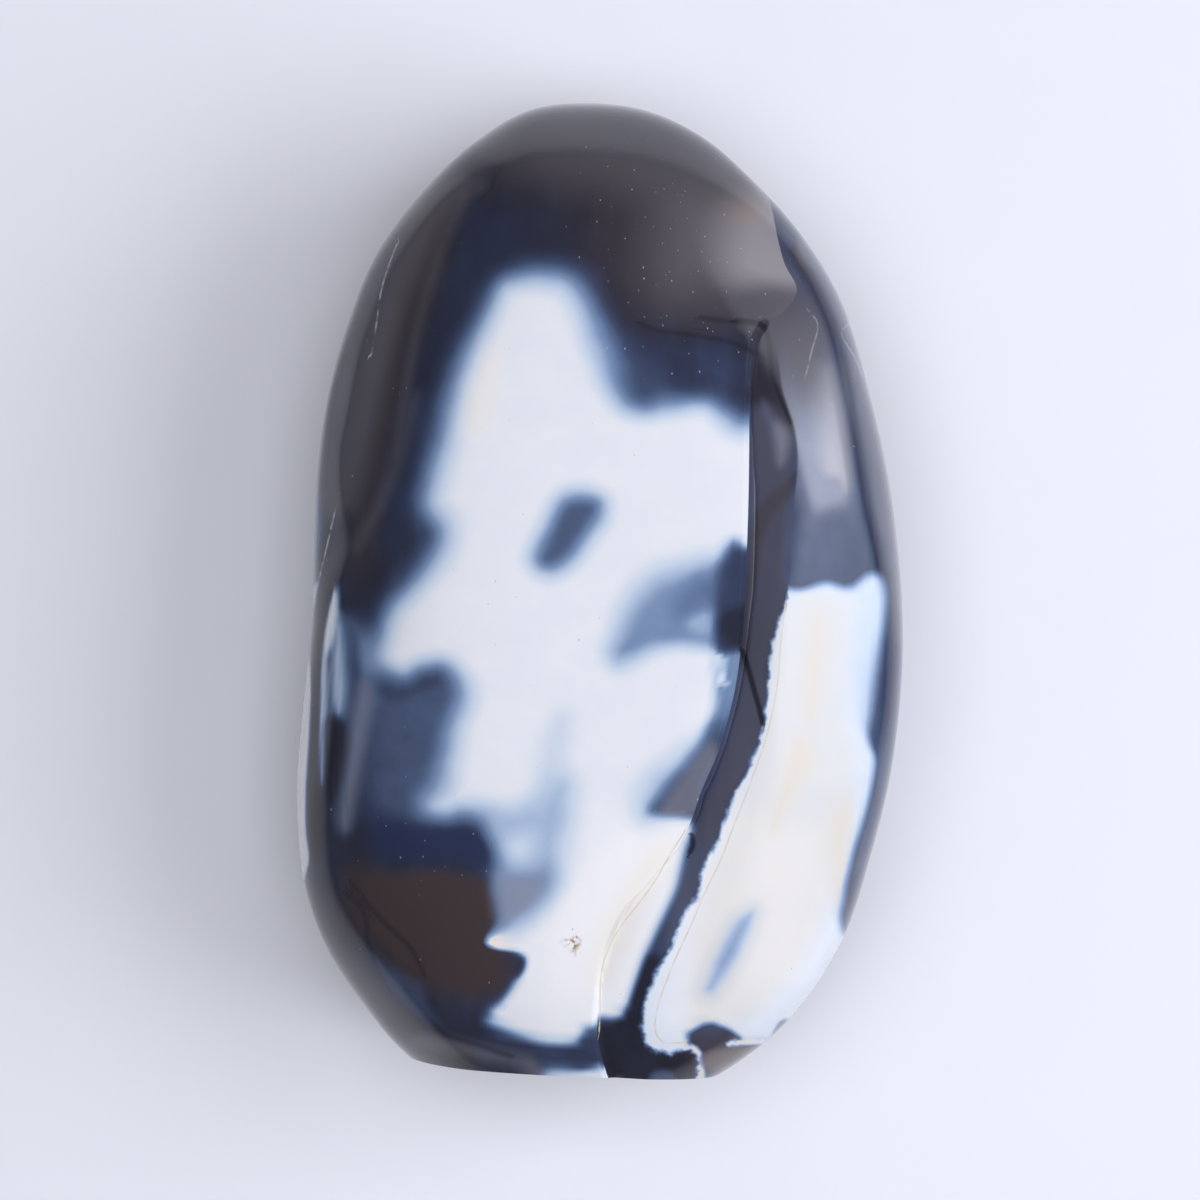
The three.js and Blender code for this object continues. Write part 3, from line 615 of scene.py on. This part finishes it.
def inside(points, line):
    """Which plan points lie inside a closed line."""
    odd = np.zeros(len(points), bool)
    for (x0, y0), (x1, y1) in zip(line, line[1:]):
        if y0 != y1:
            spans = (points[:, 1] < y0) != (points[:, 1] < y1)
            crossing = x0 + (points[:, 1] - y0) * (x1 - x0) / (y1 - y0)
            odd ^= spans & (points[:, 0] < crossing)
    return odd


def paint(pixels, field, marks):
    """Lay the marks over a field in turn, each with its own level and soft edge."""
    for _, level, soft, outline in marks:
        corners = np.array([point[:2] for point in outline], float)
        softness = np.array([point[2] if len(point) > 2 else soft for point in outline], float)
        line = spline(corners, closed=True)
        reach = softness.max()
        near = np.all((pixels > line.min(0) - reach) & (pixels < line.max(0) + reach), axis=1)
        places = pixels[near]
        gap, along = from_line(places, line)
        full_turn = np.append(softness, softness[0])
        there = np.interp(along * len(corners), np.arange(len(corners) + 1), full_turn)
        depth = np.where(inside(places, line), np.abs(gap), -np.abs(gap))
        field[near] += (level - field[near]) * smooth_step(depth / there, -1, 1)
    return field


# The stone's surface

def outline_table():
    """The outline's radius at evenly spaced angles, on a smooth curve through its points."""
    x, y = np.array(OUTLINE, float).T
    angle = np.arctan2(y, x)
    order = np.argsort(angle)
    angle, radius = angle[order], np.hypot(x, y)[order]
    angle = np.concatenate([angle - 2 * np.pi, angle, angle + 2 * np.pi])
    radius = np.tile(radius, 3)
    slope = np.gradient(radius, angle)
    even = np.linspace(-np.pi, np.pi, OUTLINE_STEPS + 1)
    i = np.searchsorted(angle, even) - 1
    span = angle[i + 1] - angle[i]
    t = (even - angle[i]) / span
    curve = (radius[i] * (1 + 2 * t) * (1 - t) ** 2 + slope[i] * span * t * (1 - t) ** 2
             + radius[i + 1] * t * t * (3 - 2 * t) + slope[i + 1] * span * t * t * (t - 1))
    return even, curve


OUTLINE_ANGLES, OUTLINE_RADII = outline_table()


def outline_radius(x, y):
    return np.interp(np.arctan2(y, x), OUTLINE_ANGLES, OUTLINE_RADII)


def plane_of(facet):
    """The facet's normal and its distance along it."""
    x, y = facet["at"]
    spread = math.hypot(x, y) / float(outline_radius(x, y))
    height = RIM_HEIGHT + FRONT_RISE * (1 - spread**FULLNESS) ** (1 / FULLNESS)
    facing, lean = math.radians(facet["facing"]), math.radians(facet["lean"])
    tip = math.sin(lean)
    normal = np.array([tip * math.cos(facing), tip * math.sin(facing), math.cos(lean)])
    return normal, normal @ (x, y, height) - facet["ground"]


def soft_max(a, b, soft):
    near = np.clip(1 - np.abs(a - b) / soft, 0, None)
    return np.maximum(a, b) + soft * near * near / 4


def beyond(points, facet):
    normal, offset = plane_of(facet)
    return points @ normal - offset


def beyond_flank(points):
    """How far points are outside the facets of the right flank."""
    parts = []
    for facets in FLANKS:
        levels = [beyond(points, facet) for facet in facets]
        parts.append(functools.reduce(lambda a, b: soft_max(a, b, FLANK_BLEND), levels))
    return soft_max(*parts, FLANK_CREASE)


def outside(points):
    """About how far points are outside the smooth stone, without its relief."""
    x, y, z = points.T
    z = z - RIM_HEIGHT
    spread = np.hypot(x, y) / outline_radius(x, y)
    rise = np.abs(z) / np.where(z > 0, FRONT_RISE, BACK_RISE)
    gauge = (spread**FULLNESS + rise**FULLNESS) ** (1 / FULLNESS)
    level = np.sqrt(x * x + y * y + z * z) * (1 - 1 / gauge)
    for facet in FACETS:
        level = soft_max(level, beyond(points, facet), facet["soft"])
    return soft_max(level, beyond_flank(points), FLANK_EDGE)


def seen_plan(points):
    """The plan place, at the height of the rim, at which the eye above sees each point."""
    return points[:, :2] * (EYE_HEIGHT / (EYE_HEIGHT - (points[:, 2:] - RIM_HEIGHT)))


def relief_depth(points):
    """How far the groove between the ledge and the ridge, and the valleys, go below the smooth dome."""
    plan = seen_plan(points)
    ledge, along = from_line(plan, spline(LEDGE_PATH))
    ridge = -from_line(plan, spline(RIDGE_PATH))[0]
    between = np.clip(ridge, 0, None) / np.maximum(np.clip(ledge, 0, None) + np.abs(ridge), LEDGE_WALL)
    depth = LEDGE_DROP * between * smooth_step(along, 0, LEDGE_START) * (1 - LEDGE_FADE * along)
    depth *= np.clip(0.5 + ledge / LEDGE_WALL, 0, 1)
    for valley in VALLEYS:
        gap, along = from_line(plan, spline(valley["path"]))
        ease = smooth_step(along, 0, VALLEY_EASE) * (1 - smooth_step(along, 1 - VALLEY_EASE, 1))
        depth += valley["depth"] * np.exp(-((gap / valley["half_width"]) ** 2)) * ease
    rise = (points[:, 2] - RIM_HEIGHT) / FRONT_RISE
    return depth * smooth_step(rise, *RELIEF_FADE)


def box_grid():
    """The corners of a box of cells, as places in it, and its squares."""
    n = np.array(CELLS)
    keys, squares = {}, []

    def corner(key):
        return keys.setdefault(key, len(keys))

    for axis in range(3):
        u, v = (axis + 1) % 3, (axis + 2) % 3
        for side in (0, n[axis]):
            for i in range(n[u]):
                for j in range(n[v]):
                    square = []
                    for di, dj in ((0, 0), (1, 0), (1, 1), (0, 1)):
                        key = [0, 0, 0]
                        key[axis], key[u], key[v] = side, i + di, j + dj
                        square.append(corner(tuple(key)))
                    squares.append(square if side else square[::-1])
    return np.array(list(keys), float), squares


def directions(corners):
    even = np.tan((2 * corners / np.array(CELLS) - 1) * np.pi / 4)
    return even / np.linalg.norm(even, axis=1)[:, None]


def follow_ledge(corners, points):
    """Shift the front's columns of cells so that one column runs down the wall of the ledge.

    Returns the two lines of corners along that column, at the ledge's lip and at its foot.
    """
    columns, rows = CELLS[:2]
    front = np.flatnonzero(corners[:, 2] == CELLS[2])
    front = front[np.lexsort((corners[front, 1], corners[front, 0]))].reshape(columns + 1, rows + 1)
    gap = from_line(seen_plan(points[front.ravel()]), spline(LEDGE_PATH))[0].reshape(front.shape)
    row = np.arange(rows + 1)
    left = (gap > 0).argmax(0) - 1
    before, after = gap[left, row], gap[left + 1, row]
    crossing = left + before / (before - after)
    column = int(crossing[BORDER_ROWS])
    ease = smooth_step(np.minimum(row, rows - row), 0, BORDER_ROWS)
    lip = column + (crossing - column - 0.5) * ease
    foot = lip + 1
    i = np.arange(columns + 1)[:, None]
    beyond_foot = foot + (i - column - 1) * (columns - foot) / (columns - column - 1)
    corners[front, 0] = np.where(i <= column, i * lip / column, beyond_foot)
    return front[column], front[column + 1]


def surface_points(corners):
    """Where the rays from the middle of the stone leave it."""
    middle = np.array([0, 0, RIM_HEIGHT])
    rays = directions(corners) * HALF_SIZE
    sunk = np.zeros(len(rays))
    for _ in range(RELIEF_ROUNDS):
        low = np.full(len(rays), SOLVE_RANGE[0])
        high = np.full(len(rays), SOLVE_RANGE[1])
        for _ in range(SOLVE_STEPS):
            scale = (low + high) / 2
            out = outside(middle + rays * scale[:, None]) + sunk > 0
            high = np.where(out, scale, high)
            low = np.where(out, low, scale)
        points = middle + rays * low[:, None]
        sunk = relief_depth(points)
    return points


def cut_flat(mesh, point, normal):
    """Cut the mesh along a plane and close it with flat rings inside a crisp edge."""
    everything = mesh.verts[:] + mesh.edges[:] + mesh.faces[:]
    made = bmesh.ops.bisect_plane(mesh, geom=everything, dist=CUT_TOLERANCE,
                                  plane_co=point, plane_no=normal, clear_outer=True)
    rim = [item for item in made["geom_cut"] if isinstance(item, bmesh.types.BMEdge)]
    for edge in rim:
        edge.smooth = False
    flat, = bmesh.ops.contextual_create(mesh, geom=rim)["faces"]
    outer = flat.verts[:]
    middle = flat.calc_center_median()
    mesh.faces.remove(flat)
    faces = []
    for ring in range(FLAT_RINGS - 1, 0, -1):
        inner = [mesh.verts.new(middle + (vert.co - middle) * (ring / (ring + 1))) for vert in outer]
        corners = zip(outer, outer[1:] + outer[:1], inner[1:] + inner[:1], inner)
        faces += [mesh.faces.new(four) for four in corners]
        outer = inner
    centre = mesh.verts.new(middle)
    faces += [mesh.faces.new((a, b, centre)) for a, b in zip(outer, outer[1:] + outer[:1])]
    for face in faces:
        face.smooth = False


def stone_mesh():
    """The stone in metres, with sharp edges along the ledge and around its flats."""
    corners, squares = box_grid()
    lines = follow_ledge(corners, surface_points(corners))
    points = surface_points(corners)
    data = bpy.data.meshes.new("polished_stone")
    data.from_pydata((points * MM).tolist(), [], squares)
    data.polygons.foreach_set("use_smooth", [True] * len(squares))
    dropped = relief_depth(points[lines[1]]) > SHARP_DROP
    sharp = {frozenset(pair) for line in lines for pair in zip(line[dropped], line[dropped][1:])}
    for edge in data.edges:
        edge.use_edge_sharp = frozenset(edge.vertices) in sharp
    mesh = bmesh.new()
    mesh.from_mesh(data)
    turn = math.radians(BASE_TURN)
    cut_flat(mesh, (BASE_POINT[0] * MM, BASE_POINT[1] * MM, 0), (math.sin(turn), -math.cos(turn), 0))
    cut_flat(mesh, (0, 0, 0), (0, 0, -1))
    mesh.to_mesh(data)
    mesh.free()
    return data


def add_attribute(data, name, values):
    data.attributes.new(name, "FLOAT", "POINT").data.foreach_set("value", values.astype(np.float32))


def nearest_line(pixels, lines):
    """Signed distance to the nearest of several lines, in mm."""
    nearest = np.full(len(pixels), np.inf)
    for line in lines:
        gap = from_line(pixels, spline(line))[0]
        nearest = np.where(np.abs(gap) < np.abs(nearest), gap, nearest)
    return nearest * MM_PER_PIXEL


def mark_stone(data):
    """Keep the markings on the mesh as attributes."""
    points = np.empty(3 * len(data.vertices))
    data.vertices.foreach_get("co", points)
    points = points.reshape(-1, 3) / MM
    plan = seen_plan(points)
    x, y = plan.T
    below = RIM_HEIGHT - points[:, 2]
    around = np.arctan2(y, x)
    waves = np.sin(SIDE_TURNS * around + SIDE_TWIST * below)
    swung = around + SIDE_SWING * smooth_step(below, *BACK_BLEND) * waves
    way = np.column_stack([np.cos(swung), np.sin(swung)])
    pushed_out = way * outline_radius(*way.T)[:, None]
    front = plan + (pushed_out - plan) * smooth_step(below, 0, FLANK_EASE)[:, None]
    to_pixels = np.array([1, -1]) / MM_PER_PIXEL
    pixels = MIDDLE_PIXEL + front * to_pixels
    back_pixels = MIDDLE_PIXEL + plan * to_pixels
    wander = sum(height * np.sin(turns * around + start) for turns, height, start in SIDE_WAVES)
    back = smooth_step(below + wander, *BACK_BLEND)
    off = BACK_OFFSET * back
    count = len(points)

    def field(level, marks):
        return paint(pixels, np.full(count, float(level)), marks)

    back_veil = paint(back_pixels, np.full(count, STONE_LEVEL), BACK_MARKS)
    # The veils also hold the painted reflections on the flank and the painted shade across the groove
    for name, values in (
        ("veil", field(STONE_LEVEL, MAIN_MARKS)),
        ("veil_low", field(LOW_LEVEL, LOW_MARKS)),
        ("veil_lobe", field(STONE_LEVEL, LOBE_MARKS)),
    ):
        add_attribute(data, name, values + (back_veil - values) * back)
    add_attribute(data, "warm", field(0, WARM_MARKS) * (1 - back))
    # pale and pale_low hold the stone's grey and the painted sheen and reflections
    add_attribute(data, "pale", field(0, PALE_AND_SHEEN_MARKS) * (1 - back))
    add_attribute(data, "pale_low", field(0, LOW_PALE_AND_SHEEN_MARKS) * (1 - back))
    add_attribute(data, "dust", field(DUST_LEVEL, DUST_MARKS))
    add_attribute(data, "pit", field(0, PIT_MARKS) * (1 - back))
    add_attribute(data, "seam", -nearest_line(pixels, [SEAM_PATH]))
    add_attribute(data, "wall", np.abs(nearest_line(pixels, [LEDGE_SEAM])) + off)
    add_attribute(data, "rind", -nearest_line(pixels, [RIND_PATH]) + off)
    for name, (paths, _, _) in HAIRLINES.items():
        gap = nearest_line(pixels, paths) + off
        add_attribute(data, name, gap)
        add_attribute(data, name + "_near", np.abs(gap))


# Materials

def linear(value):
    """A 0 to 255 value of the photograph in linear light, by the sRGB curve."""
    value /= 255
    return value / 12.92 if value <= 0.04045 else ((value + 0.055) / 1.055) ** 2.4


def stone_colour(shown):
    """The stone's own colour where the front shows a colour of the photograph."""
    own = [max(DARKEST, linear(value) - GLARE) / light for value, light in zip(shown, WHITE_LIGHT)]
    return (*own, 1.0)


class Nodes:
    """Short forms for the nodes of one tree."""

    def __init__(self, tree):
        self.tree = tree

    def put(self, kind, inputs=(), **settings):
        node = self.tree.nodes.new(kind)
        for name, value in settings.items():
            setattr(node, name, value)
        for socket, value in dict(inputs).items():
            if isinstance(value, bpy.types.NodeSocket):
                self.tree.links.new(value, node.inputs[socket])
            else:
                node.inputs[socket].default_value = value
        return node

    def attribute(self, name):
        return self.put("ShaderNodeAttribute", attribute_name=name).outputs["Fac"]

    def math(self, operation, a, b=0.0):
        return self.put("ShaderNodeMath", {0: a, 1: b}, operation=operation).outputs[0]

    def plus(self, a, b):
        return self.math("ADD", a, b)

    def times(self, a, b):
        return self.math("MULTIPLY", a, b)

    def vector(self, operation, a, b):
        return self.put("ShaderNodeVectorMath", {0: a, 1: b}, operation=operation).outputs[0]

    def length(self, place):
        return self.put("ShaderNodeVectorMath", {0: place}, operation="LENGTH").outputs["Value"]

    def band(self, value, low, high, start=0.0, end=1.0):
        """Ease from start to end as the value goes from low to high."""
        inputs = {0: value, 1: low, 2: high, 3: start, 4: end}
        return self.put("ShaderNodeMapRange", inputs, interpolation_type="SMOOTHSTEP").outputs[0]

    def span(self, value, low, high, start=0.0, end=1.0):
        """Go straight from start to end as the value goes from low to high."""
        return self.put("ShaderNodeMapRange", {0: value, 1: low, 2: high, 3: start, 4: end}).outputs[0]

    def mix(self, factor, a, b):
        return self.put("ShaderNodeMix", {0: factor, 6: a, 7: b}, data_type="RGBA").outputs[2]

    def blend(self, factor, a, b):
        return self.put("ShaderNodeMix", {0: factor, 2: a, 3: b}, data_type="FLOAT").outputs[0]

    def noise(self, place, scale, detail):
        inputs = {"Vector": place, "Scale": scale, "Detail": detail}
        return self.put("ShaderNodeTexNoise", inputs).outputs["Fac"]

    def ripple(self, place, noise, height):
        """Noise about 0, of the given height in all."""
        return self.times(self.math("SUBTRACT", self.noise(place, *noise), 0.5), height)

    def ramp(self, value, stops):
        node = self.put("ShaderNodeValToRGB", {0: value})
        elements = node.color_ramp.elements
        while len(elements) < len(stops):
            elements.new(1.0)
        for element, (position, colour) in zip(elements, stops):
            element.position = position
            element.color = colour
        return node.outputs[0]


def new_material(name):
    material = bpy.data.materials.new(name)
    material.use_nodes = True
    return material, Nodes(material.node_tree), material.node_tree.nodes["Principled BSDF"]


def whiteness(nodes, place):
    """The level of whiteness: crisp along the seam and the rind, soft and a little uneven elsewhere."""
    rind = nodes.plus(nodes.attribute("rind"), nodes.ripple(place, RIND_NOISE, RIND_HEIGHT))
    lobe = nodes.math("MINIMUM", nodes.attribute("veil_lobe"), nodes.span(rind, *RIND_EDGE))
    low = nodes.math("MAXIMUM", nodes.attribute("veil_low"), lobe)
    low_side = nodes.band(nodes.attribute("seam"), -SEAM_EDGE, SEAM_EDGE)
    level = nodes.blend(low_side, nodes.attribute("veil"), low)
    return nodes.plus(level, nodes.ripple(place, UNEVEN_NOISE, UNEVEN_HEIGHT))


def tinted_stone(nodes, place, main_side):
    """The stone's colour by its whiteness, with brown, navy, cream and grey in it; the grey is partly
    painted sheen and reflection.
    """
    veil = whiteness(nodes, place)
    streaks = nodes.noise(nodes.vector("MULTIPLY", place, STREAK_STRETCH), *STREAK_NOISE)
    mottle = nodes.span(streaks, 0, 1, -MOTTLE_HEIGHT, MOTTLE_HEIGHT)
    veil = nodes.plus(veil, nodes.times(mottle, nodes.band(veil, *MOTTLE_LEVELS)))
    low, high = VEIL_RANGE
    stops = [((level - low) / (high - low), stone_colour(shown)) for level, shown in VEIL_COLOURS]
    colour = nodes.ramp(nodes.span(veil, low, high), stops)

    warm = nodes.attribute("warm")
    brown = nodes.times(warm, nodes.band(veil, *BROWN_LEVELS))
    brown = nodes.times(brown, nodes.span(streaks, *BROWN_STREAKS))
    colour = nodes.mix(brown, colour, stone_colour(BROWN))
    navy = nodes.times(nodes.span(warm, 0, -1), nodes.band(veil, *NAVY_LEVELS))
    colour = nodes.mix(navy, colour, stone_colour(NAVY))
    cream = nodes.times(warm, nodes.band(veil, *CREAM_LEVELS))
    creams = nodes.mix(main_side, stone_colour(LOBE_CREAM), stone_colour(CREAM))
    colour = nodes.mix(cream, colour, creams)
    # Pale grey: partly the stone's own grey, partly painted sheen and reflection
    pale = nodes.blend(main_side, nodes.attribute("pale_low"), nodes.attribute("pale"))
    pale = nodes.times(pale, nodes.band(veil, *GREY_LEVELS))
    greys = nodes.mix(nodes.band(warm, *TAN_WARMTH), stone_colour(GREY_AND_SHEEN), stone_colour(TAN))
    return nodes.mix(pale, colour, greys)


def hairline(nodes, name):
    """1 on a hairline, easing to 0 at its half width."""
    _, half_width, solid = HAIRLINES[name]
    line = nodes.band(nodes.math("ABSOLUTE", nodes.attribute(name)), half_width, half_width * solid)
    return nodes.times(line, nodes.band(nodes.attribute(name + "_near"), *LINE_REACH))


def lined_stone(nodes, place, main_side, colour):
    """Draw the hairlines, with painted shade along the creases, and the pit over a colour. Returns the
    colour and where white chips lie.
    """
    # Painted shade along the creases
    crease_shade = nodes.times(hairline(nodes, "dark_line"), CREASE_SHADE_STRENGTH)
    colour = nodes.mix(crease_shade, colour, stone_colour(CREASE_SHADE_COLOUR))
    black = nodes.times(hairline(nodes, "black_line"), BLACK_STRENGTH)
    colour = nodes.mix(black, colour, stone_colour(BLACK))
    unbroken = nodes.band(nodes.noise(place, *BREAK_NOISE), *BREAK_EDGE)
    gold = nodes.times(hairline(nodes, "gold"), nodes.span(unbroken, 0, 1, *GOLD_STRENGTH))
    colour = nodes.mix(gold, colour, stone_colour(GOLD))
    chips = nodes.times(unbroken, nodes.span(main_side, 0, 1, *CHIP_STRENGTH))
    chips = nodes.times(hairline(nodes, "white_line"), chips)
    colour = nodes.mix(chips, colour, stone_colour(CHIP_WHITE))
    ragged = nodes.band(nodes.noise(place, *PIT_NOISE), *PIT_EDGE)
    pit = nodes.times(nodes.attribute("pit"), ragged)
    return nodes.mix(pit, colour, stone_colour(PIT_BROWN)), chips


def dust_specks(nodes, place):
    """Small specks, most of them where dust lies."""
    stretched = nodes.vector("MULTIPLY", place, DUST_STRETCH)
    cells = nodes.put("ShaderNodeTexVoronoi", {"Vector": stretched, "Scale": DUST_SCALE})
    chance = nodes.put("ShaderNodeSeparateColor", {0: cells.outputs["Color"]}).outputs
    picked = nodes.math("LESS_THAN", chance[0], nodes.attribute("dust"))
    size = nodes.span(chance[1], 0, 1, *DUST_SIZE)
    speck = nodes.math("LESS_THAN", cells.outputs["Distance"], size)
    return nodes.times(nodes.times(picked, speck), nodes.span(chance[2], 0, 1, *DUST_STRENGTH))


def polished_agate():
    material, nodes, shader = new_material("polished_agate")
    link = material.node_tree.links.new
    place = nodes.put("ShaderNodeTexCoord").outputs["Object"]
    main_side = nodes.band(nodes.attribute("seam"), SEAM_EDGE, -SEAM_EDGE)
    colour = tinted_stone(nodes, place, main_side)
    colour, chips = lined_stone(nodes, place, main_side, colour)
    dust = dust_specks(nodes, place)
    link(nodes.mix(dust, colour, stone_colour(DUST_GREY)), shader.inputs["Base Color"])

    polish = nodes.band(nodes.noise(place, *POLISH_NOISE), *POLISH)
    loose = nodes.times(nodes.plus(chips, dust), LOOSE_ROUGHNESS)
    wall = nodes.band(nodes.attribute("wall"), *WALL_REACH)
    dull = nodes.plus(loose, nodes.times(wall, WALL_ROUGHNESS))
    link(nodes.plus(polish, dull), shader.inputs["Roughness"])
    link(nodes.span(wall, 0, 1, *SHINE), shader.inputs["Specular IOR Level"])
    shader.inputs["IOR"].default_value = AGATE_IOR
    return material


def pale_floor():
    material, nodes, shader = new_material("pale_floor")
    place = nodes.put("ShaderNodeTexCoord").outputs["Object"]
    cloudy = nodes.band(nodes.noise(place, *FLOOR_NOISE), 0.0, 1.0)
    # Painted shade: the floor's colour darkens away from the stone, like the edge of a pool of light
    far = nodes.band(nodes.length(place), *FLOOR_SHADE)
    colour = nodes.mix(far, nodes.mix(cloudy, *FLOOR_GREYS), FLOOR_SHADE_COLOUR)
    material.node_tree.links.new(colour, shader.inputs["Base Color"])
    shader.inputs["Roughness"].default_value = FLOOR_ROUGHNESS
    shader.inputs["Specular IOR Level"].default_value = FLOOR_SHINE
    return material


# The stone, the floor, the light and the camera

def make_stone():
    data = stone_mesh()
    mark_stone(data)
    data.materials.append(polished_agate())
    stone = bpy.data.objects.new("polished_stone", data)
    bpy.context.collection.objects.link(stone)
    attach(stone, "root")
    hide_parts("agate")


def make_floor():
    data = bpy.data.meshes.new("floor")
    corners = [(-1, -1), (1, -1), (1, 1), (-1, 1)]
    data.from_pydata([(x * FLOOR_HALF, y * FLOOR_HALF, 0) for x, y in corners], [], [(0, 1, 2, 3)])
    data.materials.append(pale_floor())
    floor = bpy.data.objects.new("floor", data)
    bpy.context.collection.objects.link(floor)


def make_sky():
    """A dim studio."""
    world = bpy.data.worlds.new("studio")
    world.use_nodes = True
    bpy.context.scene.world = world
    nodes = Nodes(world.node_tree)
    place = nodes.put("ShaderNodeTexCoord").outputs["Generated"]
    height = nodes.put("ShaderNodeSeparateXYZ", {0: place}).outputs["Z"]
    stops = [(position, (*(level * tint for tint in DAYLIGHT), 1)) for position, level in SKY_LEVELS]
    background = world.node_tree.nodes["Background"]
    world.node_tree.links.new(nodes.ramp(height, stops), background.inputs["Color"])


def hang_panel(name, panel):
    """A square light panel that faces the stone."""
    lamp = bpy.data.lights.new(name, "AREA")
    lamp.size = panel["size"]
    lamp.energy = panel["power"]
    lamp.color = DAYLIGHT
    zenith, turn = math.radians(panel["zenith"]), math.radians(panel["turn"])
    way = Vector((math.sin(zenith) * math.cos(turn), math.sin(zenith) * math.sin(turn), math.cos(zenith)))
    hung = bpy.data.objects.new(name, lamp)
    hung.location = way * panel["distance"]
    hung.rotation_euler = (-way).to_track_quat("-Z", "Y").to_euler()
    bpy.context.collection.objects.link(hung)
    return hung


def make_light():
    """A softbox on the right, bright in its middle, for the polish, and panels for the rest."""
    make_sky()
    softbox = hang_panel("softbox", SOFTBOX)
    softbox.visible_diffuse = False
    softbox.data.use_nodes = True
    tree = softbox.data.node_tree
    nodes = Nodes(tree)
    place = nodes.put("ShaderNodeNewGeometry").outputs["Parametric"]
    centred = nodes.vector("SUBTRACT", place, (0.5, 0.5, 0))
    radius = nodes.length(nodes.vector("MULTIPLY", centred, (1, 1, 0)))
    glow = nodes.plus(nodes.band(radius, *SOFTBOX_GLOW), nodes.band(radius, *HOT_MIDDLE))
    tree.links.new(glow, tree.nodes["Emission"].inputs["Strength"])
    for name, panel in (("key", KEY), ("overhead", OVERHEAD)):
        hang_panel(name, panel).visible_glossy = False


def make_camera():
    lens = bpy.data.cameras.new("camera")
    lens.lens = LENS
    lens.sensor_width = SENSOR
    camera = bpy.data.objects.new("camera", lens)
    right, down = np.array([IMAGE_PIXELS / 2] * 2) - MIDDLE_PIXEL
    camera.location = (right * MM_PER_PIXEL * MM, -down * MM_PER_PIXEL * MM, CAMERA_HEIGHT)
    bpy.context.collection.objects.link(camera)
    bpy.context.scene.camera = camera


make_camera()
make_stone()
make_floor()
make_light()
bpy.context.scene.view_settings.view_transform = "Standard"
